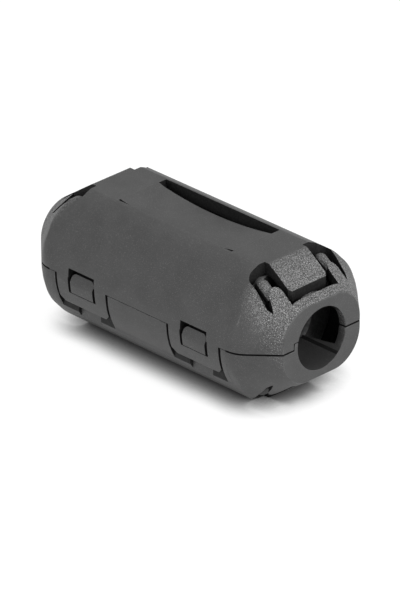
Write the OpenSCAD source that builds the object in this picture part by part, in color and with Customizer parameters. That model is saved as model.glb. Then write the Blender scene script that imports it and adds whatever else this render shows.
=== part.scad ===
// Clip-on ferrite core for a round cable. Two nylon case halves, joined by hinge straps and closed
// by two latches, each hold one half of a split ferrite tube.
// X runs along the cable, the hinge is on the +Y side, the latches are on the -Y side and +Z is up.
// The origin is at the middle of the base. Sizes are in millimetres.

/* [Case] */
// Length along the cable
case_l = 35.9; // [34:0.1:40]
// Width over the hinge side and the latch side
case_w = 18.1; // [17.9:0.1:19]
// Height of the closed case
case_h = 15.5; // [15.4:0.1:16.5]
// Width of the flat on the top and of the one underneath
flat_w = 7.2; // [7:0.1:8.2]
// Gap between the closed halves along the sides
side_gap = 0.06; // [0.02:0.02:0.2]
// Gap between the closed halves round each end
end_gap = 0.2; // [0.1:0.02:0.4]

/* [Ends] */
// Width of the flat end face
end_w = 11.2; // [10.6:0.1:12.6]
// Height of the flat end face
end_h = 8.6; // [8.4:0.1:10]
// Corner radius of the end face
end_corner_r = 3.7; // [2.5:0.05:4]
// Length of the slope from the top flat down to the end face
slope_l = 4.95; // [4.7:0.05:5.6]
// Way the slope widens from the end face to the flat: 1 is evenly, more is later
slope_flare = 3; // [1:0.5:3]
// Angle of the chamfer at the sides of each end, from the cable's direction
chamfer_a = 43; // [40:1:52]
// Radius that blends this chamfer into the side
chamfer_r = 3.1; // [1:0.1:3.1]
// Thickness of the skin over the room at each end
skin_t = 1; // [0.8:0.05:1.2]
// Thickness of the end wall round the cable
end_wall_t = 0.95; // [0.8:0.05:1.2]

/* [Cable way] */
// Diameter of the way through the case
bore_d = 7; // [6:0.1:7.2]
// Wall of the guide tabs that line the way inside each end
guide_t = 1; // [0.7:0.05:1.1]
// Width of a guide tab at the end wall
guide_root_w = 5.8; // [5:0.1:6.4]
// Width of a guide tab at its tip, by the ferrite
guide_tip_w = 5; // [4:0.1:5.6]
// Height of the lip that closes the end gap beside the way
lip_h = 0.7; // [0.4:0.05:1]
// Wall of that lip
lip_t = 0.45; // [0.3:0.05:0.6]

/* [Ferrite] */
// Thickness of the case's wall beside the ferrite
side_wall_t = 1.85; // [1.8:0.05:2]
// Step out from the case's cable way to the hole in the ferrite
core_step = 0.2; // [0.1:0.05:0.5]
// Length of the ferrite tube
core_l = 25.2; // [24.4:0.1:25.8]
// Bevel round the ends of the ferrite
core_bevel = 0.35; // [0.1:0.05:0.6]
// Gap between the ferrite and its case
core_gap = 0.1; // [0.05:0.01:0.2]

/* [Spring plates] */
// Length of the bowed plate in each flat
plate_l = 16.7; // [14:0.1:18]
// Thickness of the plate
plate_t = 0.7; // [0.5:0.05:0.7]
// Depth of its bow at the middle
plate_bow = 0.75; // [0.4:0.05:0.75]
// Distance from the edge of the flat to the slots beside the plate
slot_margin = 0.1; // [0.05:0.05:0.3]
// Width of the slot on the hinge side
hinge_slot_w = 1.15; // [0.6:0.05:1.5]
// Width of the slot on the latch side
latch_slot_w = 0.33; // [0.2:0.01:0.8]

/* [Tongues and fingers] */
// Width of the tongue on each slope
tongue_w = 5.5; // [5:0.1:6.2]
// Distance from the end face to the tongue's tip
tongue_tip = 1.9; // [1.6:0.01:2.4]
// Bevel of the tongue's two corners
tongue_bevel = 0.3; // [0.1:0.05:0.6]
// Gap beside the tongue
tongue_gap = 0.65; // [0.4:0.05:0.8]
// Width of the finger on each side of the tongue
finger_w = 1.7; // [1.4:0.05:1.9]
// Distance from the end face to a finger's tip
finger_tip = 3.1; // [2.7:0.05:3.4]
// Width of the slit outside a finger, at its tip
finger_slit = 0.65; // [0.4:0.05:0.8]
// Distance from the end face to where that slit starts
slit_start = 1.6; // [1.2:0.05:1.8]
// Distance from the end face to the back of the well behind the fingers
well_back = 5.6; // [5.3:0.05:5.9]
// Corner radius of that well
well_r = 1.3; // [0.8:0.05:1.6]
// Radius of the nib under each finger
nib_r = 0.75; // [0.5:0.05:0.8]
// Reach of a nib past its finger's tip
nib_reach = 1.35; // [0.8:0.05:1.4]
// Depth of a nib below the slope
nib_drop = 0.5; // [0.45:0.05:0.6]

/* [Latches] */
// Distance between the middles of the two latches
latch_pitch = 16.6; // [15:0.02:17]
// Width of a latch loop
loop_w = 7.3; // [6.6:0.1:8]
// Distance that a loop hangs below the parting line
loop_drop = 3.35; // [3:0.05:3.6]
// Bevel of a loop's two lower corners
loop_bevel = 0.6; // [0.2:0.05:1]
// Slit at each side of a loop
loop_slit = 0.3; // [0.2:0.05:0.5]
// Thickness of a loop
loop_t = 1.15; // [1:0.01:1.2]
// Clearance between a loop's back and the wall behind it
loop_clear = 0.1; // [0.05:0.01:0.15]
// Width of a lug
lug_w = 3.3; // [2.8:0.1:3.6]
// Height of a lug above the parting line
lug_top = 0.5; // [0.3:0.05:0.7]
// Depth of a lug's catch face below the parting line
lug_catch = 1.75; // [1.4:0.05:2]
// Depth below the parting line where a lug's lead-in starts
lead_in = 0.5; // [0.3:0.05:0.8]
// Amount that the lead-in leans back at the top of the lug
lead_lean = 0.45; // [0.2:0.05:0.6]
// Corner radius at the top of a lug
lug_r = 0.6; // [0.3:0.05:0.8]
// Clearance under a lug's catch face
catch_clear = 0.05; // [0.02:0.01:0.1]
// Clearance at each side of a lug in its loop
window_clear = 0.35; // [0.2:0.05:0.5]
// Clearance at each side of a lug in the notch of the upper half
notch_clear = 0.25; // [0.15:0.05:0.4]
// Clearance above a lug in that notch
notch_top_clear = 0.6; // [0.2:0.05:0.8]
// Depth of the hollow under a lug, behind the latch pocket
hollow_t = 0.4; // [0.2:0.05:0.4]

/* [Hinge] */
// Distance from the end face to the outer end of a hinge recess
hinge_start = 3.9; // [3.6:0.1:5]
// Length of a hinge recess
hinge_l = 8.8; // [7:0.1:10]
// Height of the recess in each half
hinge_recess_h = 1.7; // [1.4:0.05:2]
// Depth of the recess
hinge_recess_t = 1.1; // [0.95:0.05:1.15]
// Thickness of a hinge strap
strap_t = 0.4; // [0.3:0.05:0.5]
// Clearance at the ends of a strap and between the strap and the outside of the case
strap_clear = 0.3; // [0.2:0.05:0.5]

/* [Hidden] */
$fn = 96;
past = 1;
seam = 0.0005;
case_colour = "#3c3c3d";
core_colour = "#2b2c2e";

// The case's section is two arcs that meet its flats
arc_y = (pow(case_w, 2) - pow(case_h, 2) - pow(flat_w, 2)) / (4 * (case_w - flat_w));
arc_r = case_w / 2 - arc_y;

// Ends: the slope over the top, and the chamfer with its blend at the sides
slope = (case_h - end_h) / 2 / slope_l;
slope_a = atan(slope);
chamfer_l = (case_w - end_w) / 2 / tan(chamfer_a);
blend_start = chamfer_l + chamfer_r * tan(chamfer_a / 2);
end_steps = 9;
ring_n = 20;

// Ferrite and the room round it
room_r = case_w / 2 - side_wall_t;
room_z = case_h / 2 - plate_bow - plate_t;
core_d = 2 * (room_r - core_gap);
core_flat_h = 2 * (room_z - core_gap);
core_bore_d = bore_d + 2 * core_step;
core_end = (case_l - core_l) / 2;

// Spring plates
plate_r = (pow(plate_l / 2, 2) + pow(plate_bow, 2)) / (2 * plate_bow);
slot_y = flat_w / 2 - slot_margin;

// Fingers and wells
finger_y = tongue_w / 2 + tongue_gap;
finger_r = finger_w / 2;
well_y = finger_y + finger_w + finger_slit;
well_floor = bore_d / 2 - 0.5;

// Latches
latch_x = latch_pitch / 2;
loop_back = case_w / 2 - loop_t;
pocket_y = loop_back - loop_clear;
notch_y = pocket_y - loop_clear;
hollow_top = lug_catch + 0.45;

// Hinge
hinge_floor = case_w / 2 - hinge_recess_t;
hinge_x1 = case_l / 2 - hinge_start;
hinge_x0 = hinge_x1 - hinge_l;
strap_r = hinge_recess_t - 0.05;

// ---------- helpers ----------

// Extrudes a (Y, Z) outline along X
module along_x(x0, x1) {
    translate([x0, 0, 0]) rotate([90, 0, 90]) linear_extrude(x1 - x0) children();
}

// Extrudes an (X, Z) outline along Y
module along_y(y0, y1) {
    translate([0, y1, 0]) rotate([90, 0, 0]) linear_extrude(y1 - y0) children();
}

module both_ends() {
    children();
    mirror([1, 0, 0]) children();
}

module both_sides() {
    children();
    mirror([0, 1, 0]) children();
}

// A round bar on the cable's line
module round_bar(d, x0, x1) {
    translate([x0, 0, 0]) rotate([0, 90, 0]) cylinder(d = d, h = x1 - x0);
}

// ---------- outer form ----------

// The disc whose arc bounds one side, +1 or -1, and everything past the cable's line
module arc_side(side) {
    translate([side * arc_y, 0]) circle(r = arc_r);
    translate([-(1 + side) * case_w, -case_w]) square([2 * case_w, 2 * case_w]);
}

module case_section() {
    intersection() {
        arc_side(1);
        arc_side(-1);
        square([case_w + past, case_h], center = true);
    }
}

// Half width of an end at the distance u from the end face: the chamfer, then its blend, then the side
function half_width(u) =
    u < blend_start - chamfer_r * sin(chamfer_a) ? end_w / 2 + u * tan(chamfer_a)
    : u < blend_start ? case_w / 2 - chamfer_r + sqrt(pow(chamfer_r, 2) - pow(blend_start - u, 2))
    : case_w / 2;

// Distance from the cable's line to the outside of the case's section, in the direction a
function section_reach(a) = min(
    arc_y * cos(a) + sqrt(pow(arc_r, 2) - pow(arc_y * sin(a), 2)),
    a > 0 ? case_h / 2 / sin(a) : case_w
);

// The same for a rectangle of half width w and half height h with rounded corners
function corner_reach(a, y, z, r) =
    y * cos(a) + z * sin(a) + sqrt(pow(r, 2) - pow(y * sin(a) - z * cos(a), 2));
function rectangle_reach(a, w, h, r) =
    a >= atan2(h, w - r) ? h / sin(a)
    : a <= atan2(h - r, w) ? w / cos(a)
    : corner_reach(a, w - r, h - r, r);

// Half height of an end, half width of its slope and reach of its outside in the direction a
function half_height(u) = end_h / 2 + u * slope;
function slope_half_width(u) =
    end_w / 2 - end_corner_r + (flat_w / 2 - end_w / 2 + end_corner_r) * pow(u / slope_l, slope_flare);
function end_reach(u, a) =
    let (w = half_width(u))
    min(section_reach(a), rectangle_reach(a, w, half_height(u), w - slope_half_width(u)));

// Points from the side up to the edge of the slope, at the distance u from the end face
function quarter_ring(u, grow) =
    let (edge_a = atan2(half_height(u), slope_half_width(u)))
    [for (i = [0:ring_n])
        let (a = edge_a * i / ring_n, d = grow * end_reach(u, a))
        [d * cos(a), d * sin(a)]
    ];
function ring(u, x, grow) =
    let (q = quarter_ring(u, grow))
    [for (i = [0:2 * ring_n + 1])
        i <= ring_n ? [x, q[i][0], q[i][1]] : [x, -q[2 * ring_n + 1 - i][0], q[2 * ring_n + 1 - i][1]]
    ];

// One end of a case half, lofted from the end face to the crease and a little way into the case.
// Each of the last two rings shrinks by a sliver, so that their sides stay inside the case.
module end_block() {
    sliver = 0.0005;
    m = 2 * ring_n + 2;
    rings = concat(
        [for (j = [0:end_steps - 1]) let (u = slope_l * j / end_steps) ring(u, case_l / 2 - u, 1)],
        [ring(slope_l, case_l / 2 - slope_l, 1 - sliver)],
        [ring(slope_l, case_l / 2 - slope_l - past, 1 - 2 * sliver)]
    );
    last = len(rings) - 1;
    polyhedron(
        points = [for (r = rings) each r],
        faces = concat(
            [for (i = [0:ring_n - 1]) [m - 1 - i, m - 2 - i, i + 1, i]],
            [for (j = [0:last - 1], i = [0:m - 1])
                each let (a = j * m + i, b = j * m + (i + 1) % m) [[a, b, a + m], [b, b + m, a + m]]],
            [for (i = [0:ring_n - 1]) [i, i + 1, m - 2 - i, m - 1 - i] + last * m * [1, 1, 1, 1]]
        )
    );
}

// ---------- one case half, drawn as the upper one ----------

module blank() {
    difference() {
        union() {
            along_x(slope_l - case_l / 2, case_l / 2 - slope_l) case_section();
            both_ends() end_block();
        }
        translate([-case_l, -case_w, side_gap / 2 - 2 * case_h]) cube([2 * case_l, 2 * case_w, 2 * case_h]);
    }
}

// The room for the ferrite, which runs on to both end walls under a skin of even thickness
module room() {
    x = case_l / 2 - end_wall_t;
    y0 = half_width(end_wall_t) - skin_t / cos(chamfer_a);
    z0 = half_height(end_wall_t) - skin_t / cos(slope_a);
    x_side = x - (room_r - y0) / tan(chamfer_a);
    x_top = x - (room_z - z0) / slope;
    corner_a = atan2(end_h, end_w);
    corner_0 = end_reach(end_wall_t, corner_a);
    corner_rise = (end_reach(slope_l, corner_a) - corner_0) / (slope_l - end_wall_t);
    r0 = corner_0 - skin_t / cos(atan(corner_rise));
    x_corner = x - (room_r - r0) / corner_rise;
    intersection() {
        rotate([0, 90, 0]) rotate_extrude() polygon([
            [0, -x], [r0, -x], [room_r, -x_corner], [room_r, x_corner], [r0, x], [0, x]
        ]);
        linear_extrude(room_r) polygon([
            [x, y0], [x_side, room_r], [-x_side, room_r], [-x, y0],
            [-x, -y0], [-x_side, -room_r], [x_side, -room_r], [x, -y0]
        ]);
        along_y(-case_w, case_w) polygon([
            [x, 0], [x, z0], [x_top, room_z], [-x_top, room_z], [-x, z0], [-x, 0]
        ]);
    }
}

// Seen from above, with x from the end face inwards: what is cut away round a tongue and its fingers
module slope_cut_outline() {
    difference() {
        union() {
            translate([end_wall_t, -finger_y]) square([well_back - end_wall_t, 2 * finger_y]);
            both_sides() well_outline();
        }
        polygon([
            [tongue_tip, -tongue_w / 2 + tongue_bevel], [tongue_tip + tongue_bevel, -tongue_w / 2],
            [well_back + past, -tongue_w / 2], [well_back + past, tongue_w / 2],
            [tongue_tip + tongue_bevel, tongue_w / 2], [tongue_tip, tongue_w / 2 - tongue_bevel]
        ]);
        both_sides() translate([finger_tip - finger_r, finger_y + finger_r]) circle(r = finger_r);
    }
}

module well_outline() {
    front = finger_tip - finger_r;
    translate([front, 0]) square([well_back - well_r - front, well_y]);
    translate([front, 0]) square([well_back - front, well_y - well_r]);
    translate([well_back - well_r, well_y - well_r]) circle(r = well_r);
    polygon([[front, well_y], [slit_start, well_y - finger_slit / 2], [front, well_y - finger_slit]]);
}

module slope_cuts() {
    both_ends() translate([case_l / 2, 0, well_floor]) mirror([1, 0, 0])
        linear_extrude(case_h) slope_cut_outline();
}

// Bowed plate between two slots, joined to the flat at both ends
module plate_slots() {
    translate([-plate_l / 2, -slot_y, room_z - past]) cube([plate_l, 2 * slot_y, case_h]);
}

module spring_plate() {
    plate_y0 = latch_slot_w - slot_y;
    plate_y1 = slot_y - hinge_slot_w;
    low_z = case_h / 2 - plate_bow;
    along_y(plate_y0, plate_y1) intersection() {
        translate([0, low_z + plate_r]) difference() {
            circle(r = plate_r + plate_t, $fn = 4 * $fn);
            circle(r = plate_r, $fn = 4 * $fn);
        }
        translate([-plate_l / 2 - seam, low_z - plate_t])
            square([plate_l + 2 * seam, plate_bow + plate_t]);
    }
}

// Tab that lines the cable way from the end wall to the ferrite
module guide_tab() {
    x1 = case_l / 2 - end_wall_t / 2;
    x0 = case_l / 2 - core_end + core_gap;
    intersection() {
        difference() {
            round_bar(bore_d + 2 * guide_t, x0, x1);
            round_bar(bore_d, x0 - past, x1 + past);
        }
        linear_extrude(case_h) polygon([
            [x0, -guide_tip_w / 2], [x1, -guide_root_w / 2], [x1, guide_root_w / 2], [x0, guide_tip_w / 2]
        ]);
    }
}

// Round-ended bar under a finger, parallel to the slope
module nib() {
    u = finger_tip - finger_r;
    depth = nib_drop + nib_r;
    bar_l = (finger_r + nib_reach - nib_r) / cos(slope_a);
    x = case_l / 2 - u - depth * sin(slope_a);
    z = half_height(u) - depth * cos(slope_a);
    translate([x, finger_y + finger_r, z]) rotate([0, slope_a - 90, 0]) {
        cylinder(r = nib_r, h = bar_l);
        translate([0, 0, bar_l]) sphere(r = nib_r);
    }
}

module hinge_recess() {
    translate([hinge_x0, hinge_floor, -past]) cube([hinge_l, case_w, past + hinge_recess_h]);
}

// The halves stand a little further apart round their ends than along their sides
module end_relief() {
    translate([case_l / 2 - blend_start, -case_w, -past]) cube([case_l, 2 * case_w, past + end_gap / 2]);
}

module case_half() {
    difference() {
        union() {
            difference() {
                blank();
                room();
                slope_cuts();
                plate_slots();
            }
            spring_plate();
            both_ends() {
                guide_tab();
                both_sides() nib();
            }
        }
        round_bar(bore_d, -case_l, case_l);
        both_ends() {
            hinge_recess();
            end_relief();
        }
    }
}

// ---------- latches ----------

// Outline of the case's latch side between two heights, in from the outside to the given distance
module side_outline(y, z0, z1) {
    intersection() {
        translate([-arc_y, 0]) circle(r = arc_r);
        translate([-case_w, z0]) square([case_w - y, z1 - z0]);
    }
}

module latch_loop() {
    root = 0.4;
    difference() {
        intersection() {
            along_x(-loop_w / 2, loop_w / 2) side_outline(loop_back, -loop_drop, root);
            along_y(-case_w, 0) polygon([
                [-loop_w / 2, root], [-loop_w / 2, loop_bevel - loop_drop],
                [loop_bevel - loop_w / 2, -loop_drop], [loop_w / 2 - loop_bevel, -loop_drop],
                [loop_w / 2, loop_bevel - loop_drop], [loop_w / 2, root]
            ]);
        }
        window_w = lug_w + 2 * window_clear;
        window_h = lug_catch + catch_clear + side_gap / 2;
        translate([-window_w / 2, -case_w, side_gap / 2 - window_h]) cube([window_w, case_w, window_h]);
    }
}

module latch_notch() {
    notch_w = lug_w + 2 * notch_clear;
    translate([-notch_w / 2, -case_w, -past]) cube([notch_w, case_w - notch_y, past + lug_top + notch_top_clear]);
}

module latch_pocket() {
    pocket_w = loop_w + 2 * loop_slit;
    translate([-pocket_w / 2, -case_w, -case_h / 2]) cube([pocket_w, case_w - pocket_y, case_h]);
    translate([-lug_w / 2, -case_w, -case_h / 2])
        cube([lug_w, case_w - pocket_y + hollow_t, case_h / 2 - hollow_top]);
}

module latch_lug() {
    root = 0.2;
    intersection() {
        along_x(-lug_w / 2, lug_w / 2) intersection() {
            side_outline(pocket_y - root, -lug_catch, lug_top);
            polygon([
                [-case_w, -lug_catch], [-case_w / 2, -lead_in], [lead_lean - case_w / 2, lug_top],
                [-pocket_y, lug_top], [-pocket_y, -side_gap / 2],
                [root - pocket_y, -side_gap / 2], [root - pocket_y, -lug_catch]
            ]);
        }
        along_y(-case_w, 0) {
            translate([-lug_w / 2, -lug_catch]) square([lug_w, lug_catch + lug_top - lug_r]);
            for (s = [-1, 1]) translate([s * (lug_w / 2 - lug_r), lug_top - lug_r]) circle(r = lug_r);
            translate([lug_r - lug_w / 2, lug_top - lug_r]) square([lug_w - 2 * lug_r, lug_r]);
        }
    }
}

// Lip of the lower half that stands up beside the cable way, and the seat for it in the upper half
module lip() {
    intersection() {
        difference() {
            round_bar(bore_d + 2 * lip_t, case_l / 2 - end_wall_t, case_l / 2);
            round_bar(bore_d, 0, case_l);
        }
        translate([0, -case_w, -end_gap]) cube([case_l, case_w, end_gap + lip_h]);
    }
}

module lip_seat() {
    translate([case_l / 2 - end_wall_t - core_gap, -bore_d / 2 - lip_t - core_gap, -past])
        cube([case_l, bore_d / 2, past + lip_h + core_gap]);
}

// ---------- pieces ----------

module upper_case() {
    color(case_colour) translate([0, 0, case_h / 2]) difference() {
        union() {
            case_half();
            for (s = [-1, 1]) translate([s * latch_x, 0, 0]) latch_loop();
        }
        for (s = [-1, 1]) translate([s * latch_x, 0, 0]) latch_notch();
        both_ends() lip_seat();
    }
}

module lower_case() {
    color(case_colour) translate([0, 0, case_h / 2]) {
        difference() {
            mirror([0, 0, 1]) case_half();
            for (s = [-1, 1]) translate([s * latch_x, 0, 0]) latch_pocket();
        }
        for (s = [-1, 1]) translate([s * latch_x, 0, 0]) latch_lug();
        both_ends() lip();
    }
}

// Half of the ferrite tube, above the parting line
module half_core() {
    intersection() {
        rotate([0, 90, 0]) rotate_extrude() polygon([
            [core_bore_d / 2, core_bevel - core_l / 2], [core_bore_d / 2 + core_bevel, -core_l / 2],
            [core_d / 2 - core_bevel, -core_l / 2], [core_d / 2, core_bevel - core_l / 2],
            [core_d / 2, core_l / 2 - core_bevel], [core_d / 2 - core_bevel, core_l / 2],
            [core_bore_d / 2 + core_bevel, core_l / 2], [core_bore_d / 2, core_l / 2 - core_bevel]
        ]);
        translate([-case_l / 2, -case_w / 2, 0]) cube([case_l, case_w, core_flat_h / 2]);
    }
}

module upper_core() {
    color(core_colour) translate([0, 0, case_h / 2]) half_core();
}

module lower_core() {
    color(core_colour) translate([0, 0, case_h / 2]) mirror([0, 0, 1]) half_core();
}

// Thin strap that bends when the case opens. Closed, it is half a ring between the recess floors.
module hinge_strap() {
    translate([0, 0, case_h / 2]) along_x(hinge_x0 + strap_clear, hinge_x1 - strap_clear)
        translate([hinge_floor, 0]) intersection() {
            difference() {
                circle(r = strap_r);
                circle(r = strap_r - strap_t);
            }
            translate([0, -case_h]) square([case_w, 2 * case_h]);
        }
}

module front_hinge_strap() {
    color(case_colour) hinge_strap();
}

module rear_hinge_strap() {
    color(case_colour) mirror([1, 0, 0]) hinge_strap();
}

upper_case();
lower_case();
upper_core();
lower_core();
front_hinge_strap();
rear_hinge_strap();
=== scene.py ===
# %% [markdown]
# # A clip-on ferrite for a round cable
# Two black nylon case halves close round a cable and hold a split ferrite tube against it.
# The solids come in finished from the CAD model. This lesson gives them the small rounded
# edges, moulded grain and ceramic shine of the real parts, bends the two hinge straps and
# sets up a plain studio.

# %% Load the frame
import math

import bpy
import bmesh
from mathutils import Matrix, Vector
from mathutils.bvhtree import BVHTree
from mathutils.kdtree import KDTree


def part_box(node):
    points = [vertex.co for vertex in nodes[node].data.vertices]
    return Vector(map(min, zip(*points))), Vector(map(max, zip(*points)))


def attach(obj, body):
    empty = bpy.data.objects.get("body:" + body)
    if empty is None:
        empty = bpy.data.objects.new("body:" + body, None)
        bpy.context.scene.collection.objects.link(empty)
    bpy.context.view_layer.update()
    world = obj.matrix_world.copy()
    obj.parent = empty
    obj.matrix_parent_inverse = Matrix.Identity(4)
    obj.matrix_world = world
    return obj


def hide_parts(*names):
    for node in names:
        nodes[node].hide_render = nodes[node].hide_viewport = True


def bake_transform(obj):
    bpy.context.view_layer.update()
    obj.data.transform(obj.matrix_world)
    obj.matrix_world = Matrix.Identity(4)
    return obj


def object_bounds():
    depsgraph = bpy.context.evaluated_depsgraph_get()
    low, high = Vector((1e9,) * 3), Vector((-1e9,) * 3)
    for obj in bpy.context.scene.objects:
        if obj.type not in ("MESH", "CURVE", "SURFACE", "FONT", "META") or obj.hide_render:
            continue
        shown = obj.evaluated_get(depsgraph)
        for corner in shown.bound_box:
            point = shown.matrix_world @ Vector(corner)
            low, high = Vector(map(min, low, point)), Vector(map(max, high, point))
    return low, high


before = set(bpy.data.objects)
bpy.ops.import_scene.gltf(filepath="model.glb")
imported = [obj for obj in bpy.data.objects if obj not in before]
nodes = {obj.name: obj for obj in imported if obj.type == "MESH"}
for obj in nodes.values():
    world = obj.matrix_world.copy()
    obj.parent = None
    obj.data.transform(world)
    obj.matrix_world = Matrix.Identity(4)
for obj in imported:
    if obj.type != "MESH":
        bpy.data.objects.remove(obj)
MM = 0.001
cad_low, cad_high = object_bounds()
centre = (cad_low + cad_high) / 2
case_l = cad_high.x - cad_low.x
print("nodes:", sorted(nodes))
print("case in mm:", [round(v / MM, 2) for v in cad_high - cad_low])

# %% [markdown]
# ## Camera
# The camera stands off the corner between the latches and one end, a little above, so that
# the top, the latch side and the cable's way all show. A long lens from far away keeps the
# case's edges almost parallel.

# %% Camera
VIEW_AZ, VIEW_EL = math.radians(45.3), math.radians(27.2)
DISTANCE = 0.723
PICTURE_HEIGHT, PIXELS_PER_MM = 600, 9.6
# How far the aim stands off the case's centre, in picture pixels to the right and downward.
AIM_RIGHT, AIM_DOWN = 1.3, 18.5
toward = Vector((math.sin(VIEW_AZ) * math.cos(VIEW_EL),
                 -math.cos(VIEW_AZ) * math.cos(VIEW_EL),
                 math.sin(VIEW_EL)))
right = Vector((math.cos(VIEW_AZ), math.sin(VIEW_AZ), 0))
up = toward.cross(right)
camera_data = bpy.data.cameras.new("studio_camera")
camera = bpy.data.objects.new("studio_camera", camera_data)
bpy.context.scene.collection.objects.link(camera)
bpy.context.scene.camera = camera
camera_data.lens = PIXELS_PER_MM / MM * DISTANCE / PICTURE_HEIGHT * camera_data.sensor_width
aim = centre + (right * AIM_RIGHT - up * AIM_DOWN) / PIXELS_PER_MM * MM
camera.location = aim + toward * DISTANCE
camera.rotation_mode = "QUATERNION"
camera.rotation_quaternion = (-toward).to_track_quat("-Z", "Y")
camera_data.clip_start, camera_data.clip_end = 0.05, 20
print("lens in mm:", round(camera_data.lens, 1))

# %% [markdown]
# ## Floor
# A wide sheet of white paper runs out of sight. The camera and the reflections see it glow,
# which keeps it white, and the glow fades where the case covers the paper, so that the soft
# contact shadow stays. All other light meets plain white paper.

# %% Node helpers
def new_material(name):
    """A material with an empty node tree and its output."""
    material = bpy.data.materials.new(name)
    material.use_nodes = True
    material.node_tree.nodes.clear()
    output = material.node_tree.nodes.new("ShaderNodeOutputMaterial")
    return material, material.node_tree, output


def feed(tree, given, socket):
    """Link a socket, or set a plain value, on an input."""
    if isinstance(given, bpy.types.NodeSocket):
        tree.links.new(given, socket)
    elif given is not None:
        socket.default_value = given


def value_node(tree, operation, first, second=None, clamp=False):
    """A Math node; each input is a socket or a number."""
    node = tree.nodes.new("ShaderNodeMath")
    node.operation, node.use_clamp = operation, clamp
    feed(tree, first, node.inputs[0])
    feed(tree, second, node.inputs[1])
    return node.outputs[0]


def smooth_step(tree, source, low, high):
    """0 below low, 1 above high, smooth between."""
    node = tree.nodes.new("ShaderNodeMapRange")
    node.interpolation_type = "SMOOTHSTEP"
    tree.links.new(source, node.inputs["Value"])
    node.inputs["From Min"].default_value, node.inputs["From Max"].default_value = low, high
    return node.outputs["Result"]


def grey_mix(tree, factor, first, second):
    """A colour mix; each end is a socket or a grey level."""
    node = tree.nodes.new("ShaderNodeMix")
    node.data_type = "RGBA"
    feed(tree, factor, node.inputs[0])
    for socket, given in ((node.inputs[6], first), (node.inputs[7], second)):
        plain = not isinstance(given, bpy.types.NodeSocket)
        feed(tree, (given, given, given, 1) if plain else given, socket)
    return node.outputs[2]


print("helpers:", [f.__name__ for f in (new_material, feed, value_node, smooth_step, grey_mix)])


# %% Floor
FLOOR_HALF = 3.0
PAPER, SEEN_PAPER, GLOW = 0.85, 0.12, 0.92
# How far the paper feels the case above it, and the openness at which its glow starts and ends.
COVER_REACH, COVERED, OPEN = 3.2 * MM, 0.10, 0.95
floor_mesh = bpy.data.meshes.new("floor")
corners = [(-FLOOR_HALF, -FLOOR_HALF, 0), (FLOOR_HALF, -FLOOR_HALF, 0),
           (FLOOR_HALF, FLOOR_HALF, 0), (-FLOOR_HALF, FLOOR_HALF, 0)]
floor_mesh.from_pydata(corners, [], [(0, 1, 2, 3)])
floor = bpy.data.objects.new("floor", floor_mesh)
bpy.context.scene.collection.objects.link(floor)

paper, tree, output = new_material("white_paper")
plain_paper = tree.nodes.new("ShaderNodeBsdfDiffuse")
plain_paper.inputs["Color"].default_value = (PAPER, PAPER, PAPER, 1)
seen_paper = tree.nodes.new("ShaderNodeBsdfDiffuse")
seen_paper.inputs["Color"].default_value = (SEEN_PAPER, SEEN_PAPER, SEEN_PAPER, 1)
cover = tree.nodes.new("ShaderNodeAmbientOcclusion")
cover.inputs["Distance"].default_value = COVER_REACH
glow = tree.nodes.new("ShaderNodeEmission")
openness = smooth_step(tree, cover.outputs["AO"], COVERED, OPEN)
tree.links.new(value_node(tree, "MULTIPLY", openness, GLOW), glow.inputs["Strength"])
seen_side = tree.nodes.new("ShaderNodeAddShader")
tree.links.new(seen_paper.outputs[0], seen_side.inputs[0])
tree.links.new(glow.outputs[0], seen_side.inputs[1])
ray = tree.nodes.new("ShaderNodeLightPath")
seen = value_node(tree, "MAXIMUM", ray.outputs["Is Camera Ray"], ray.outputs["Is Glossy Ray"])
paper_mix = tree.nodes.new("ShaderNodeMixShader")
tree.links.new(seen, paper_mix.inputs[0])
tree.links.new(plain_paper.outputs[0], paper_mix.inputs[1])
tree.links.new(seen_side.outputs[0], paper_mix.inputs[2])
tree.links.new(paper_mix.outputs[0], output.inputs["Surface"])
floor.data.materials.append(paper)
print("floor side in m:", 2 * FLOOR_HALF)

# %% [markdown]
# ## Light
# A black part needs light from all round, or its shape is lost. The world gives that even
# light. A soft lamp past the near end brings out the grain of the slope and the tongue, and two
# weaker ones stand overhead and in front of the latches.

# %% World and lamps
WORLD = 0.72
world = bpy.data.worlds.new("studio")
bpy.context.scene.world = world
world.use_nodes = True
world.node_tree.nodes["Background"].inputs["Color"].default_value = (1, 1, 1, 1)
world.node_tree.nodes["Background"].inputs["Strength"].default_value = WORLD


def area_lamp(name, offset, size, power):
    """A square soft lamp, aimed at the case."""
    data = bpy.data.lights.new(name, "AREA")
    data.shape, data.size, data.energy = "SQUARE", size, power
    lamp = bpy.data.objects.new(name, data)
    bpy.context.scene.collection.objects.link(lamp)
    lamp.location = centre + Vector(offset)
    lamp.rotation_mode = "QUATERNION"
    lamp.rotation_quaternion = (-Vector(offset)).to_track_quat("-Z", "Y")
    return lamp


lamps = [
    area_lamp("top_lamp", offset=(-0.05, 0.10, 0.50), size=0.35, power=0.8),
    area_lamp("end_lamp", offset=(0.45, 0.05, 0.22), size=0.25, power=1.8),
    area_lamp("side_lamp", offset=(-0.05, -0.50, 0.20), size=0.40, power=0.8),
]
bpy.context.scene.view_settings.view_transform = "Standard"
print("lamps:", [lamp.name for lamp in lamps])
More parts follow.
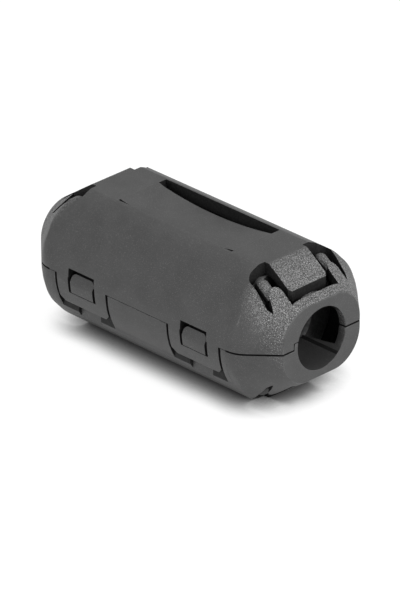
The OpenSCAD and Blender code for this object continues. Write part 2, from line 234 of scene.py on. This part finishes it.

# %% [markdown]
# ## Finishes
# The case is moulded in black nylon from a spark-eroded tool. Its long sides are fairly
# smooth, and the sloped ends carry a coarser grain, whose colour is painted lighter towards
# the end and the top of each slope as painted light, with bright specks as painted glints.
# The walls inside get a smoother finish and a darker colour that is painted shade, so that the
# bore and the deep wells stay dark. The grain is one node group, so that it is made once and
# each material only sets its scale. A second group breaks up the pale line along every rounded
# edge, partly wear from handling and partly a painted highlight.

# %% Shared groups
def new_group(name, inputs, outputs):
    """A shader node group with named sockets. Each input is (name, type, default)."""
    group = bpy.data.node_groups.new(name, "ShaderNodeTree")
    for socket_name, kind, default in inputs:
        socket = group.interface.new_socket(socket_name, in_out="INPUT", socket_type=kind)
        socket.default_value = default
    for socket_name, kind in outputs:
        group.interface.new_socket(socket_name, in_out="OUTPUT", socket_type=kind)
    return group, group.nodes.new("NodeGroupInput"), group.nodes.new("NodeGroupOutput")


def object_noise(tree, scale, detail=2.0):
    """Noise on the object's own coordinates; scale is a socket or a number."""
    place = tree.nodes.new("ShaderNodeTexCoord")
    noise = tree.nodes.new("ShaderNodeTexNoise")
    noise.inputs["Detail"].default_value = detail
    tree.links.new(place.outputs["Object"], noise.inputs["Vector"])
    feed(tree, scale, noise.inputs["Scale"])
    return noise.outputs["Fac"]


# The flecks, which paint glints on the nylon, are this much finer than the grain.
FINER = 1.6
grain_group, given, result = new_group(
    "moulded_grain",
    [("Scale", "NodeSocketFloat", 5000.0), ("Pits", "NodeSocketFloat", 0.5)],
    [("Height", "NodeSocketFloat"), ("Grain", "NodeSocketFloat"), ("Fleck_and_glint", "NodeSocketFloat")])
fine = object_noise(grain_group, given.outputs["Scale"], detail=3.0)
place = grain_group.nodes.new("ShaderNodeTexCoord")
cells = grain_group.nodes.new("ShaderNodeTexVoronoi")
grain_group.links.new(place.outputs["Object"], cells.inputs["Vector"])
grain_group.links.new(given.outputs["Scale"], cells.inputs["Scale"])
pits = value_node(grain_group, "MULTIPLY", cells.outputs["Distance"], given.outputs["Pits"])
grain_group.links.new(value_node(grain_group, "ADD", fine, pits), result.inputs["Height"])
grain_group.links.new(smooth_step(grain_group, fine, low=0.45, high=0.59), result.inputs["Grain"])
finer = value_node(grain_group, "MULTIPLY", given.outputs["Scale"], FINER)
tiny = object_noise(grain_group, finer, detail=1.0)
grain_group.links.new(smooth_step(grain_group, tiny, low=0.62, high=0.72), result.inputs["Fleck_and_glint"])

# Painted highlight, partly wear: the rounded edges are painted pale in broken patches.
edge_group, given, result = new_group(
    "rubbed_edge_and_highlight", [("Edge", "NodeSocketFloat", 0.0), ("Amount", "NodeSocketFloat", 0.5)],
    [("Rub_and_highlight", "NodeSocketFloat")])
broken = smooth_step(edge_group, object_noise(edge_group, scale=1300.0), low=0.35, high=0.65)
worn_and_lit = value_node(edge_group, "MULTIPLY", broken, given.outputs["Amount"])
worn_and_lit = value_node(edge_group, "MULTIPLY", worn_and_lit, given.outputs["Edge"])
edge_group.links.new(worn_and_lit, result.inputs["Rub_and_highlight"])
print("groups:", grain_group.name, edge_group.name)

# %% Material parts
EDGE_MASK = "edge_mask"


def add_grain(tree, scale, pits):
    """The grain group at a scale, with its pits as deep as asked."""
    node = tree.nodes.new("ShaderNodeGroup")
    node.node_tree = grain_group
    node.inputs["Scale"].default_value, node.inputs["Pits"].default_value = scale, pits
    return node


def add_rub_and_highlight(tree, amount):
    """How far each point of the marked edges is painted pale, partly as wear and partly as a
    painted highlight.
    """
    mask = tree.nodes.new("ShaderNodeAttribute")
    mask.attribute_name = EDGE_MASK
    node = tree.nodes.new("ShaderNodeGroup")
    node.node_tree = edge_group
    node.inputs["Amount"].default_value = amount
    tree.links.new(mask.outputs["Fac"], node.inputs["Edge"])
    return node.outputs["Rub_and_highlight"]


def add_shader(tree, output, colour, roughness, height, depth, specular):
    """The finished Principled shader with its bump."""
    shader = tree.nodes.new("ShaderNodeBsdfPrincipled")
    shader.inputs["Specular IOR Level"].default_value = specular
    bump = tree.nodes.new("ShaderNodeBump")
    bump.inputs["Distance"].default_value = depth
    tree.links.new(height, bump.inputs["Height"])
    tree.links.new(bump.outputs[0], shader.inputs["Normal"])
    tree.links.new(colour, shader.inputs["Base Color"])
    feed(tree, roughness, shader.inputs["Roughness"])
    tree.links.new(shader.outputs[0], output.inputs["Surface"])


print("edge mask:", EDGE_MASK)

# %% [markdown]
# ## Black nylon
# The coarser grain starts where the slopes begin and stops short of the flat end faces. It is
# strongest towards the end and the top of each slope, where its colour is painted lighter as
# painted light and its bright specks, which are painted glints, are thickest.

# %% Black nylon
SPLIT_Z = centre.z
SLOPE = 4.95 * MM
# All greys are linear. A pair is the dark and the light end of a mottled grey.
# The second grey paints the slopes' grain as lit, the third paints glints on it and the last
# paints the edges pale, partly as wear and partly as a painted highlight.
EVEN_GREY, LIT_GREY, GLINT_GREY, RUB_AND_HIGHLIGHT_GREY = (0.027, 0.052), (0.028, 0.165), 0.50, 0.16
# Where the coarse grain sets in about the slope's foot and fades out about the flat end face.
FOOT_FROM, FOOT_TO, FACE_FROM, FACE_TO = -0.4 * MM, 0.2 * MM, -0.12 * MM, -0.03 * MM
# How much height counts beside length in the coarser grain and its painted light, and where that
# sum sets in and ends.
RISE, COARSE_AND_LIGHT_FROM, COARSE_AND_LIGHT_TO = 0.6, -1.8 * MM, 0.8 * MM
# The height over the parting line at which the painted light on the grain sets in and is full.
UPPER_LIGHT_FROM, UPPER_LIGHT_TO = 1.2 * MM, 4.2 * MM


def ramp(tree, source, scale, offset):
    """source * scale + offset."""
    out = value_node(tree, "MULTIPLY_ADD", source, scale)
    out.node.inputs[2].default_value = offset
    return out


def nylon(name, side_bump, end_bump):
    """Black moulded nylon: even on the sides, coarser up the slopes, where its colour is painted
    lighter as painted light.
    """
    material, tree, output = new_material(name)
    grain = add_grain(tree, scale=8500.0, pits=0.6)
    place = tree.nodes.new("ShaderNodeTexCoord")
    axes = tree.nodes.new("ShaderNodeSeparateXYZ")
    tree.links.new(place.outputs["Object"], axes.inputs[0])
    along = value_node(tree, "ABSOLUTE", axes.outputs["X"])
    end_x, slope_x = case_l / 2, case_l / 2 - SLOPE
    slope_zone = value_node(
        tree, "SUBTRACT", smooth_step(tree, along, slope_x + FOOT_FROM, slope_x + FOOT_TO),
        smooth_step(tree, along, end_x + FACE_FROM, end_x + FACE_TO))
    lit_end_and_top = value_node(tree, "ADD", along, ramp(tree, axes.outputs["Z"], RISE, -RISE * SPLIT_Z))
    lit_end_and_top = smooth_step(tree, lit_end_and_top, end_x + COARSE_AND_LIGHT_FROM, end_x + COARSE_AND_LIGHT_TO)
    coarse_and_lit = value_node(tree, "MULTIPLY", slope_zone, lit_end_and_top)
    strength = ramp(tree, coarse_and_lit, end_bump - side_bump, side_bump)
    height = value_node(tree, "MULTIPLY", grain.outputs["Height"], strength)
    even = grey_mix(tree, object_noise(tree, scale=420.0, detail=4.0), *EVEN_GREY)
    lit = grey_mix(tree, grain.outputs["Grain"], *LIT_GREY)
    # Painted light: the slopes' grain is painted lighter towards the top and the end, where the
    # lamp past the end falls; a little of it is the rough grain's own lighter tone.
    upper_light = smooth_step(tree, axes.outputs["Z"], SPLIT_Z + UPPER_LIGHT_FROM, SPLIT_Z + UPPER_LIGHT_TO)
    tone_and_light = ramp(tree, value_node(tree, "MULTIPLY", coarse_and_lit, upper_light), scale=0.7, offset=0.0)
    tone_and_light = value_node(tree, "ADD", tone_and_light, ramp(tree, coarse_and_lit, scale=0.2, offset=0.0))
    colour = grey_mix(tree, tone_and_light, even, lit)
    # Painted glints: bright specks on the grain, thickest where the painted light is.
    fleck_and_glint = ramp(tree, coarse_and_lit, scale=0.76, offset=0.14)
    fleck_and_glint = value_node(tree, "MULTIPLY", fleck_and_glint, grain.outputs["Fleck_and_glint"])
    colour = grey_mix(tree, fleck_and_glint, colour, GLINT_GREY)
    # Painted highlight, partly wear: the rounded edges are painted pale.
    colour = grey_mix(tree, add_rub_and_highlight(tree, amount=0.3), colour, RUB_AND_HIGHLIGHT_GREY)
    roughness = ramp(tree, coarse_and_lit, scale=0.12, offset=0.50)
    add_shader(tree, output, colour, roughness, height, depth=0.02 * MM, specular=0.4)
    return material


case_nylon = nylon("black_nylon", side_bump=0.35, end_bump=2.4)
strap_nylon = nylon("strap_nylon", side_bump=0.2, end_bump=0.2)
print("materials:", case_nylon.name, strap_nylon.name)

# %% [markdown]
# ## Smooth inner walls and ferrite
# The inner nylon has almost no relief and little shine, and its dark colour is painted shade
# for walls that little light reaches. Ferrite is a hard ceramic, dark grey, finely speckled
# and glossier than the nylon.

# %% Smooth inner walls
shaded_inner_nylon, tree, output = new_material("smooth_nylon_painted_shade")
grain = add_grain(tree, scale=5200.0, pits=0.0)
# Painted shade: the inner walls are painted much darker than the outer nylon.
colour = grey_mix(tree, grain.outputs["Grain"], first=0.010, second=0.016)
# Painted highlight, partly wear: the rounded edges are painted pale.
colour = grey_mix(tree, add_rub_and_highlight(tree, amount=0.3), colour, second=0.10)
add_shader(tree, output, colour, roughness=0.55, height=grain.outputs["Height"],
           depth=0.004 * MM, specular=0.15)
print("material:", shaded_inner_nylon.name)

# %% Ferrite
ferrite, tree, output = new_material("dark_ferrite")
grain = add_grain(tree, scale=3000.0, pits=0.2)
colour = grey_mix(tree, grain.outputs["Grain"], first=0.024, second=0.038)
fleck_and_glint = value_node(tree, "MULTIPLY", grain.outputs["Fleck_and_glint"], second=0.3)
colour = grey_mix(tree, fleck_and_glint, colour, second=0.14)
# Painted highlight, partly wear: the rounded edges are painted pale.
colour = grey_mix(tree, add_rub_and_highlight(tree, amount=0.4), colour, second=0.20)
add_shader(tree, output, colour, roughness=0.34, height=grain.outputs["Height"],
           depth=0.01 * MM, specular=0.35)
print("material:", ferrite.name)

# %% [markdown]
# ## Case halves and ferrite
# A moulding never has a truly sharp edge. Each case half is copied from its solid, its loose
# triangles are merged into whole faces, and a very narrow bevel rounds the creases that have
# room for it, so that they catch a thin line of light. Where a bevel folds over itself, the
# creases close by are narrowed and it is made again. The bevel's own faces are marked, because
# the rubbed edge with its painted highlight needs them, and the normals are weighted by area to
# keep the long faces calm. Rays sent out from each face tell the walls inside, which get the
# smooth nylon, painted dark as shade.

# %% Round the edges
EDGE, SEGMENTS = 0.06 * MM, 2
# A crease is steeper than CREASE. Two that meet straighter than STRAIGHT are one chain.
CREASE, STRAIGHT, SHARP = math.radians(33), math.radians(150), math.radians(40)
# The most that a bevel takes of the face beside it and of the next edge, as shares.
FACE_SHARE, NEXT_SHARE = 0.3, 0.35
# A crease with less room than this share of the width stays sharp.
LEAST_SHARE = 0.2
# A face is folded if a triangle of it leans this far from its normal, slivers left out.
FOLDED, SLIVER = 0.3, 1e-4 * MM * MM
TIGHT_REACH, NARROWING, TRIES = 0.15 * MM, 0.5, 5
# The rays per face, how far they look, how far off the face they start and the share that
# makes a face an inner one, painted dark as shade. A face that points up needs UPWARD more,
# as painted light from above.
RAYS, RAY_REACH, RAY_START, INNER, UPWARD = 32, 8 * MM, 0.1 * MM, 0.4, 0.25
TURN = math.pi * (3 - math.sqrt(5))
# Cleaning the copy: the distances that merge corners and the angle that merges faces.
MERGE_FIRST, MERGE_LAST, SHORTEST = 0.002 * MM, 0.02 * MM, 0.005 * MM
FLAT = math.radians(0.3)

points, faces = [], []
for node in nodes.values():
    faces += [[len(points) + v for v in polygon.vertices] for polygon in node.data.polygons]
    points += [vertex.co.copy() for vertex in node.data.vertices]
closed_part = BVHTree.FromPolygons(points, faces)


def enclosed(start, normal):
    """The share of rays leaving a face that meet the closed part again close by."""
    met = 0
    for i in range(RAYS):
        height = (i + 0.5) / RAYS
        reach, angle = math.sqrt(height), TURN * i
        side = normal.orthogonal().normalized()
        other = normal.cross(side)
        across = side * math.cos(angle) + other * math.sin(angle)
        ray = normal * math.sqrt(1 - height) + across * reach
        met += closed_part.ray_cast(start + normal * RAY_START, ray, RAY_REACH)[0] is not None
    return met / RAYS


def plain_mesh(piece):
    """A new mesh of the piece with its modifiers worked in; the modifiers are removed."""
    ready = piece.evaluated_get(bpy.context.evaluated_depsgraph_get())
    mesh = bpy.data.meshes.new_from_object(ready)
    piece.modifiers.clear()
    return mesh


def folded_places(mesh):
    """A search tree of the corners of the faces that overlap themselves, or None."""
    mesh.calc_loop_triangles()
    folded = set()
    for triangle in mesh.loop_triangles:
        a, b, c = (mesh.vertices[i].co for i in triangle.vertices)
        normal = (b - a).cross(c - a)
        face = mesh.polygons[triangle.polygon_index]
        if normal.length > SLIVER and normal.normalized().dot(face.normal) < FOLDED:
            folded.update(face.vertices)
    tree = KDTree(len(folded))
    for i in folded:
        tree.insert(mesh.vertices[i].co, i)
    tree.balance()
    return tree if folded else None


def crease_room(shape, width, tight):
    """For each crease, how wide it can be rounded before it meets a neighbouring corner."""
    shape.edges.index_update()
    creases = {edge.index: edge for edge in shape.edges
               if edge.is_manifold and edge.calc_face_angle() > CREASE}
    room = dict.fromkeys(creases, width)
    chain = {i: i for i in creases}

    def first(i):
        while chain[i] != i:
            i = chain[i]
        return i

    for i, edge in creases.items():
        for face in edge.link_faces:
            across = 2 * face.calc_area() / face.calc_perimeter()
            room[i] = min(room[i], FACE_SHARE * across)
        for loop in edge.link_loops:
            for corner, near in ((loop, loop.link_loop_prev.edge),
                                 (loop.link_loop_next, loop.link_loop_next.edge)):
                angle = corner.calc_angle()
                if near.index in creases and angle > STRAIGHT:
                    chain[first(i)] = first(near.index)
                else:
                    slant = min(math.sin(angle), math.tan(angle / 2))
                    room[i] = min(room[i], NEXT_SHARE * near.calc_length() * slant)
    narrowest = {}
    for i, value in room.items():
        narrowest[first(i)] = min(value, narrowest.get(first(i), width))
    share = dict.fromkeys(creases, 1.0)
    for tree in tight:
        for i, edge in creases.items():
            if any(tree.find(v.co)[2] < TIGHT_REACH for v in edge.verts):
                share[i] *= NARROWING
    return {i: share[i] * narrowest[first(i)] for i in creases}


def rounded_mesh(piece, width, outer, inner, tight):
    """The piece's mesh with its creases beveled, less so near the places that folded before."""
    shape = bmesh.new()
    shape.from_mesh(piece.data)
    weight = shape.edges.layers.float.get("bevel_weight_edge")
    if weight is None:
        weight = shape.edges.layers.float.new("bevel_weight_edge")
    room = crease_room(shape, width, tight)
    for edge in shape.edges:
        share = room.get(edge.index, 0.0) / width
        edge[weight] = share if share > LEAST_SHARE else 0.0
    rounded = sum(value / width > LEAST_SHARE for value in room.values())
    print(piece.name, "creases:", len(room), "rounded:", rounded)
    shape.to_mesh(piece.data)
    shape.free()
    bevel = piece.modifiers.new("edge", "BEVEL")
    bevel.width, bevel.segments, bevel.limit_method = width, SEGMENTS, "WEIGHT"
    bevel.use_clamp_overlap = False
    bevel.material = 1
    return plain_mesh(piece)


def finish_edges(piece, width, outer, inner):
    """Bevel the creases, mark the new faces, weight the normals and give out the two finishes, of
    which the inner one carries painted shade on the case halves.
    """
    for material in (outer, inner):
        piece.data.materials.append(material)
    tight = []
    for _ in range(TRIES):
        mesh = rounded_mesh(piece, width, outer, inner, tight)
        folded = folded_places(mesh)
        if folded is None:
            break
        tight.append(folded)
    piece.data = mesh
    mask = mesh.attributes.new(EDGE_MASK, "FLOAT", "FACE")
    for polygon in mesh.polygons:
        mask.data[polygon.index].value = float(polygon.material_index == 1)
        # Painted shade: faces whose rays meet the part close by get the inner finish, painted
        # dark; faces pointing up count less, as painted light from above.
        upward = UPWARD * max(polygon.normal.z, 0)
        polygon.material_index = int(enclosed(polygon.center, polygon.normal) - upward > INNER)
        polygon.use_smooth = True
    mesh.set_sharp_from_angle(angle=SHARP)
    weighted = piece.modifiers.new("normals", "WEIGHTED_NORMAL")
    weighted.keep_sharp = True
    piece.data = plain_mesh(piece)
    return piece.data


def rounded_copy(node_name, body, outer, inner):
    """A copy of a CAD solid with merged faces and narrow rounded edges stands for the solid."""
    mesh = nodes[node_name].data.copy()
    # The solid's own normals would shade the new faces wrongly.
    if "custom_normal" in mesh.attributes:
        mesh.attributes.remove(mesh.attributes["custom_normal"])
    piece = bpy.data.objects.new(node_name + "_finished", mesh)
    bpy.context.scene.collection.objects.link(piece)
    shape = bmesh.new()
    shape.from_mesh(mesh)
    bmesh.ops.remove_doubles(shape, verts=shape.verts, dist=MERGE_FIRST)
    bmesh.ops.dissolve_limit(shape, angle_limit=FLAT, verts=shape.verts, edges=shape.edges)
    bmesh.ops.remove_doubles(shape, verts=shape.verts, dist=MERGE_LAST)
    bmesh.ops.dissolve_degenerate(shape, dist=SHORTEST, edges=shape.edges)
    shape.to_mesh(mesh)
    shape.free()
    mesh.materials.clear()
    finished = finish_edges(piece, EDGE, outer, inner)
    low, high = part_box(node_name)
    for vertex in finished.vertices:
        vertex.co = [min(max(vertex.co[i], low[i]), high[i]) for i in range(3)]
    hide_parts(node_name)
    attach(piece, body)
    print(node_name, "faces:", len(finished.polygons))


rounded_copy("upper_case", "upper_half", case_nylon, shaded_inner_nylon)
rounded_copy("lower_case", "lower_half", case_nylon, shaded_inner_nylon)
rounded_copy("upper_core", "upper_half", ferrite, ferrite)
rounded_copy("lower_core", "lower_half", ferrite, ferrite)

# %% [markdown]
# ## Hinge straps
# Each strap is a thin web of the same nylon that runs from one half to the other. Closed, it
# is bent into half a ring, and open it straightens between the two halves. Its shape follows
# a rule, so a node tree sweeps a flat section round half a circle, with enough steps to bend
# smoothly.

# %% Strap tree
strap_tree = bpy.data.node_groups.new("bent_strap", "GeometryNodeTree")
strap_tree.interface.new_socket("Geometry", in_out="OUTPUT", socket_type="NodeSocketGeometry")
sockets = {}
for socket_name, kind in (("Length", "NodeSocketFloat"), ("Ring radius", "NodeSocketFloat"),
                          ("Wall", "NodeSocketFloat"), ("Steps", "NodeSocketInt"),
                          ("Centre", "NodeSocketVector"), ("Material", "NodeSocketMaterial")):
    sockets[socket_name] = strap_tree.interface.new_socket(
        socket_name, in_out="INPUT", socket_type=kind).identifier
given = strap_tree.nodes.new("NodeGroupInput")
result = strap_tree.nodes.new("NodeGroupOutput")


def strap_node(kind, links):
    """A node of the strap's tree with its inputs linked or set."""
    node = strap_tree.nodes.new(kind)
    for key, value in links.items():
        feed(strap_tree, value, node.inputs[key])
    return node


half_wall = strap_node("ShaderNodeMath", {0: given.outputs["Wall"], 1: 0.5})
half_wall.operation = "MULTIPLY"
middle_r = strap_node("ShaderNodeMath", {
    0: given.outputs["Ring radius"], 1: half_wall.outputs[0]})
middle_r.operation = "SUBTRACT"
ring = strap_node("GeometryNodeCurveArc", {
    "Resolution": given.outputs["Steps"], "Radius": middle_r.outputs[0],
    "Start Angle": math.radians(-90), "Sweep Angle": math.radians(180)})
section = strap_node("GeometryNodeCurvePrimitiveQuadrilateral", {
    "Width": given.outputs["Wall"], "Height": given.outputs["Length"]})
swept = strap_node("GeometryNodeCurveToMesh", {
    "Curve": ring.outputs["Curve"], "Profile Curve": section.outputs[0], "Fill Caps": True})
stood = strap_node("GeometryNodeTransform", {
    "Geometry": swept.outputs["Mesh"], "Translation": given.outputs["Centre"],
    "Rotation": (math.radians(90), 0, math.radians(90))})
realised = strap_node("GeometryNodeRealizeInstances", {"Geometry": stood.outputs["Geometry"]})
coated = strap_node("GeometryNodeSetMaterial", {
    "Geometry": realised.outputs[0], "Material": given.outputs["Material"]})
strap_tree.links.new(coated.outputs[0], result.inputs[0])
print("tree:", strap_tree.name, sorted(sockets))

# %% Straps
STRAP_WALL, STRAP_EDGE = 0.4 * MM, 0.05 * MM
STRAP_STEPS = 33
for name in ("front_hinge_strap", "rear_hinge_strap"):
    low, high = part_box(name)
    outer = (high.z - low.z) / 2
    middle = (low.x + high.x) / 2
    strap = bpy.data.objects.new(name + "_finished", bpy.data.meshes.new(name + "_finished"))
    bpy.context.scene.collection.objects.link(strap)
    bend = strap.modifiers.new("bent_strap", "NODES")
    bend.node_group = strap_tree
    for socket_name, value in (("Length", high.x - low.x), ("Ring radius", outer),
                               ("Wall", STRAP_WALL), ("Steps", STRAP_STEPS),
                               ("Centre", (middle, low.y, SPLIT_Z)), ("Material", strap_nylon)):
        bend[sockets[socket_name]] = value
    mesh = strap.data = plain_mesh(strap)
    shape = bmesh.new()
    shape.from_mesh(mesh)
    bmesh.ops.remove_doubles(shape, verts=shape.verts, dist=MERGE_FIRST)
    bmesh.ops.recalc_face_normals(shape, faces=shape.faces)
    shape.to_mesh(mesh)
    shape.free()
    mesh.materials.clear()
    finish_edges(strap, STRAP_EDGE, strap_nylon, strap_nylon)
    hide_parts(name)
    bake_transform(strap)
    reach = [[c / MM for c in v.co] for v in strap.data.vertices]
    print(name, "low", [round(min(c[i] for c in reach), 2) for i in range(3)],
          "high", [round(max(c[i] for c in reach), 2) for i in range(3)],
          "CAD", [round(v / MM, 2) for v in low], [round(v / MM, 2) for v in high])
